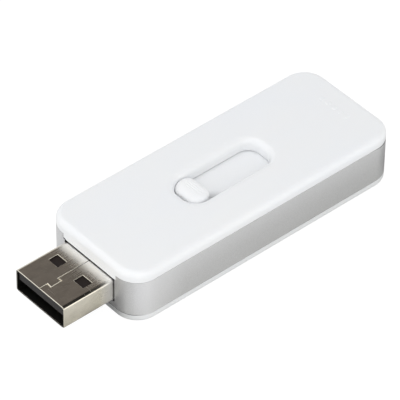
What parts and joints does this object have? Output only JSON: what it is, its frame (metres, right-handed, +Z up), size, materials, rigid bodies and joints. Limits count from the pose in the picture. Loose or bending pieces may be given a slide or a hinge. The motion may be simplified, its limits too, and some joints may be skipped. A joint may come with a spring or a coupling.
{
  "type": "usb wifi adapter",
  "caption": "Pocket USB wifi adapter in a white and silver housing, with a thumb slider that moves the plug in and out.",
  "frame": {"origin": "centre of the flat underside of the bottom cover", "axes": "+Z up out of the top cover, +Y along the housing away from the plug, +X across the housing"},
  "size_m": [0.0222, 0.067, 0.0104],
  "materials": {
    "white_plastic": "satin moulded white",
    "white_knob_plastic": "satin moulded white",
    "silver_paint": "satin silver paint",
    "tray_plastic": "moulded black",
    "spring_steel": "rolled strip",
    "plug_steel": "folded and brushed sheet",
    "insulator_plastic": "moulded dark grey",
    "contact_gold": "gilt",
    "board_mask": "green solder mask",
    "chip_epoxy": "moulded epoxy",
    "tinned_metal": "tinned",
    "ferrite": "dark ferrite",
    "ceramic_tan": "fired tan",
    "ceramic_white": "fired white"
  },
  "bodies": {
    "housing": {"top_cover": "white_plastic", "side_band": "silver_paint", "bottom_cover": "white_plastic"},
    "carriage": {"slider_knob": "white_knob_plastic", "slide_plate": "white_plastic", "carriage_tray": "tray_plastic", "detent_spring": "spring_steel", "plug_shell": "plug_steel", "plug_insulator": "insulator_plastic", "contact_vbus": "contact_gold", "contact_dminus": "contact_gold", "contact_dplus": "contact_gold", "contact_gnd": "contact_gold", "circuit_board": "board_mask", "wifi_chip": "chip_epoxy", "shield_can": "tinned_metal", "crystal": "tinned_metal", "flash_memory": "chip_epoxy", "voltage_regulator": "chip_epoxy", "power_inductor": "ferrite", "input_capacitor": "ceramic_tan", "output_capacitor": "ceramic_tan", "decoupling_capacitor": "ceramic_tan", "matching_capacitor": "ceramic_tan", "matching_inductor": "ceramic_white", "chip_antenna": "ceramic_white"}
  },
  "joints": [
    {"name": "connector_slide", "type": "slide", "parent": "housing", "child": "carriage", "axis": [0, 1, 0], "range_m": [0, 0.0129]}
  ]
}
